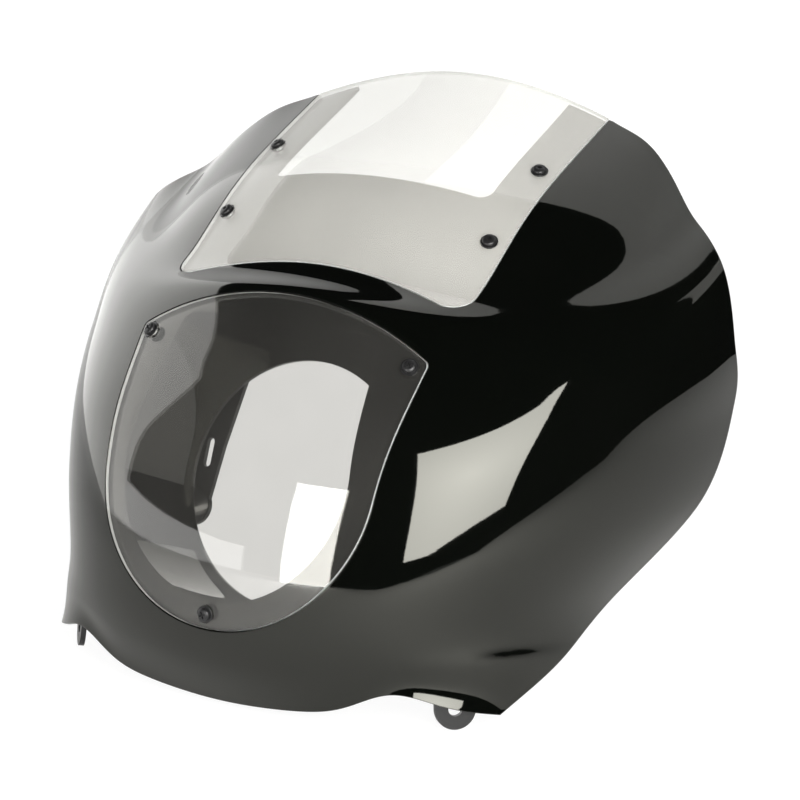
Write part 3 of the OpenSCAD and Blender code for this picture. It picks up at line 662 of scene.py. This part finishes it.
def finish_panel(panel, plastic, replaced):
    sawn_faces = shade_with_skin(panel, PANEL_DEEPEST)
    panel.data.materials.clear()
    panel.data.materials.append(plastic)
    panel.data.materials.append(sawn_edge)
    for index in sawn_faces:
        panel.data.polygons[index].material_index = 1
    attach(panel, "root")
    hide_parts(replaced)


# The lens wears only a faint touch of the painted sheen veil.
LENS_TONES, LENS_SHEEN = ((0.82, 0.815, 0.80), (0.85, 0.845, 0.83)), (0.008, 0.020)
lens_clear = clear_plastic("clear_polycarbonate", LENS_TONES, LENS_SHEEN)
lens = sheet("bubble_lens", 0, PANEL, rows=66, cols=30, **LENS_PATCH)
combine(lens, prism("edge", lens_outline(0), *LAMP_REACH, LAMP), "INTERSECT")
for place in UPPER_LENS_PLACES + [BOTTOM_LENS_PLACE]:
    combine(lens, bar(SCREW_HOLE_R, -PANEL - BITE, BITE, place), "DIFFERENCE")
finish_panel(lens, lens_clear, "headlight_lens")

# Screen
# The same 3 mm polycarbonate, bolted flush over the brow. A milky, slightly patchy veil is painted over it:
# a painted reflection that stands in for the pale sheen of overhead light on the screen.
SCREEN_TONES, SCREEN_SHEEN = ((0.96, 0.965, 0.96), (0.98, 0.98, 0.98)), (0.25, 0.33)
screen_clear = clear_plastic("polycarbonate_painted_sheen", SCREEN_TONES, SCREEN_SHEEN)
screen = sheet("clear_screen", 0, PANEL, **SCREEN_PATCH)
combine(screen, prism("edge", screen_outline(0, 0), *SCREEN_REACH, SCREEN), "INTERSECT")
combine(screen, prism("top", beyond_top(0), *SCREEN_REACH, SCREEN), "DIFFERENCE")
for place in SCREEN_PLACES:
    combine(screen, bar(SCREW_HOLE_R, -PANEL - BITE, BITE, place), "DIFFERENCE")
finish_panel(screen, screen_clear, "windscreen")

# Screen bolts
# Four M5 button-head bolts of black plated steel with hexagon sockets, each on a plated washer. They
# pull the screen onto its flange.
PLATED_DARK, PLATED_PALE = (0.012, 0.012, 0.013), (0.035, 0.035, 0.036)
plated, tree, output = new_material("black_plating")
place_on = node(tree, "TexCoord")
grain = node(tree, "TexNoise", {"Vector": place_on.outputs["Object"], "Scale": 1400.0, "Detail": 3.0})
fine = node(tree, "Bump", {"Strength": 0.15, "Distance": 0.00005, "Height": grain.outputs["Fac"]})
steel = node(tree, "BsdfPrincipled", {
    "Base Color": mottle(tree, grain, PLATED_DARK, PLATED_PALE),
    "Metallic": 0.6,
    "Roughness": 0.32,
    "Normal": fine.outputs[0],
})
tree.links.new(steel.outputs[0], output.inputs["Surface"])


def finish_hardware(piece, replaced):
    piece.data.shade_smooth()
    piece.data.set_sharp_from_angle(angle=math.radians(30))
    piece.data.materials.clear()
    piece.data.materials.append(plated)
    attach(piece, "root")
    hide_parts(replaced)


WASHER_R, WASHER_THICK, WASHER_EDGE = 0.0065, 0.001, 0.00015
SHANK_R, SHANK_TIP, HEAD_EDGE = 0.0025, 0.0005, 0.0002
# A head stands on its washer. RIM is the share of the dome's height that its rim takes up, and ROUND
# makes the dome fuller than an ellipse.
BASE = GAP_UNDER + WASHER_THICK
RIM, ROUND, DOME_STEPS = 0.35, 0.55, 14
BUTTON_R, BUTTON_HIGH, BUTTON_LONG, BUTTON_TIP_R = 0.00525, 0.003, 0.0166, 0.0022
SOCKET_R, SOCKET_FLOOR, OVER_HEAD = 0.0018, 0.001, 0.01


def add_washer(name, place, replaced):
    r0, r1, c = SCREW_HOLE_R, WASHER_R, WASHER_EDGE
    low, high = GAP_UNDER, GAP_UNDER + WASHER_THICK
    profile = [(r0, low), (r1 - c, low), (r1, low + c), (r1, high - c), (r1 - c, high)]
    profile += [(r0 + c, high), (r0, high - c)]
    finish_hardware(turned(name, profile, place, 64), replaced)


def domed_head(r, h):
    points = [(r - HEAD_EDGE, 0), (r, HEAD_EDGE), (r, RIM * h)]
    for a in np.linspace(0, math.pi / 2, DOME_STEPS)[1:-1]:
        points.append((r * math.cos(a) ** ROUND, h * (RIM + (1 - RIM) * math.sin(a))))
    return [(x, BASE + z) for x, z in points + [(0.0, h)]]


for level, spot in SCREEN_SPOTS.items():
    for side_name, side in SIDES.items():
        place = stand_on(*spot, side)
        name = level + "_" + side_name
        add_washer("screen_bolt_washer_" + name, place, "screen_washer_" + name)
        tip = BASE - BUTTON_LONG
        profile = [(0, tip), (BUTTON_TIP_R, tip), (SHANK_R, tip + SHANK_TIP), (SHANK_R, BASE)]
        profile += domed_head(BUTTON_R, BUTTON_HIGH)
        bolt = turned("button_bolt_" + name, profile, place, 64)
        corners = [2 * math.pi * k / 6 for k in range(6)]
        hexagon = [(SOCKET_R * math.cos(a), SOCKET_R * math.sin(a)) for a in corners]
        socket = prism("socket", hexagon, BASE + SOCKET_FLOOR, BASE + OVER_HEAD, place)
        combine(bolt, socket, "DIFFERENCE")
        finish_hardware(bolt, "screen_bolt_" + name)

# Lens screws
# Three black plated pan-head screws with cross recesses and washers. The upper two have nuts behind
# the seat, and the bottom one goes into a blind boss.
PAN_R, PAN_HIGH, PAN_TIP_R = 0.005, 0.0032, 0.002
NUT_SCREW_DEEP, BLIND_SCREW_DEEP = 0.0153, 0.0103
RECESS_HALF, RECESS_WIDE_HALF, RECESS_FLOOR, RECESS_TURN = 0.0027, 0.0006, 0.0013, 0.4
LENS_SCREWS = [
    ("left", UPPER_LENS_PLACES[0], NUT_SCREW_DEEP),
    ("right", UPPER_LENS_PLACES[1], NUT_SCREW_DEEP),
    ("bottom", BOTTOM_LENS_PLACE, BLIND_SCREW_DEEP),
]
for name, place, deep in LENS_SCREWS:
    add_washer("lens_screw_washer_" + name, place, "lens_washer_" + name)
    profile = [(0, -deep), (PAN_TIP_R, -deep), (SHANK_R, -deep + SHANK_TIP), (SHANK_R, BASE)]
    profile += domed_head(PAN_R, PAN_HIGH)
    screw = turned("pan_screw_" + name, profile, place, 64)
    for turn in (RECESS_TURN, RECESS_TURN + math.pi / 2):
        x, y = RECESS_HALF, RECESS_WIDE_HALF
        slot = [(-x, -y), (x, -y), (x, y), (-x, y)]
        slot_place = place @ Matrix.Rotation(turn, 4, "Z")
        recess = prism("recess", slot, BASE + RECESS_FLOOR, BASE + OVER_HEAD, slot_place)
        combine(screw, recess, "DIFFERENCE")
    finish_hardware(screw, "lens_screw_" + name)

# Brackets and hidden hardware
# The brackets are laser-cut steel, folded and powder coated. The nuts, washers and bolts behind keep
# their plain shapes and are plated like the screws.
COAT_DARK, COAT_PALE = (0.008, 0.008, 0.009), (0.016, 0.016, 0.017)
coat, tree, output = new_material("powder_coat")
place_on = node(tree, "TexCoord")
orange = node(tree, "TexNoise", {"Vector": place_on.outputs["Object"], "Scale": 700.0, "Detail": 2.0})
pimple = node(tree, "Bump", {"Strength": 0.12, "Distance": 0.0001, "Height": orange.outputs["Fac"]})
satin = node(tree, "BsdfPrincipled", {
    "Base Color": mottle(tree, orange, COAT_DARK, COAT_PALE),
    "Roughness": 0.28,
    "Normal": pimple.outputs[0],
})
tree.links.new(satin.outputs[0], output.inputs["Surface"])

for name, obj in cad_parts.items():
    is_bracket = name.startswith(("bracket_left", "bracket_right"))
    obj.data.materials.clear()
    obj.data.materials.append(coat if is_bracket else plated)
